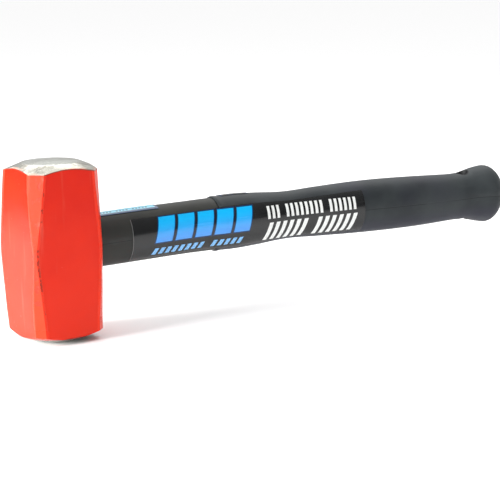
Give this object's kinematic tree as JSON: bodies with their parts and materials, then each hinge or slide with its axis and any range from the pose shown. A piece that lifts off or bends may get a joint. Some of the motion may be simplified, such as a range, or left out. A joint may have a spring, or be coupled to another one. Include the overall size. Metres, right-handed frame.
{
  "type": "sledgehammer",
  "caption": "Short sledgehammer with a barrel-sided square steel head, crowned faces and a moulded rubber handle over a core of steel rods.",
  "frame": {"origin": "middle of the lower striking face, on the small flat at the top of its crown", "axes": "+Z along the head from the lower face to the upper one, +X along the handle from the head to the butt, +Y across the cheeks"},
  "size_m": [0.4102, 0.0492, 0.116],
  "materials": {
    "head_paint": "satin",
    "cap_resin": "satin",
    "plate_steel": "brushed",
    "rod_steel": "brushed",
    "neck_rubber": "matte",
    "grip_rubber": "matte",
    "dark_film": "gloss",
    "blue_film": "gloss"
  },
  "bodies": {
    "root": {"head": "head_paint", "eye_cap": "cap_resin", "locking_plate": "plate_steel", "core_rod_1": "rod_steel", "core_rod_2": "rod_steel", "core_rod_3": "rod_steel", "core_rod_4": "rod_steel", "core_rod_5": "rod_steel", "core_rod_6": "rod_steel", "rod_spacer_1": "plate_steel", "rod_spacer_2": "plate_steel", "rod_spacer_3": "plate_steel", "handle_core": "neck_rubber", "grip_sleeve": "grip_rubber", "front_label": "dark_film", "neck_label": "blue_film", "grip_label": "dark_film"}
  },
  "joints": []
}
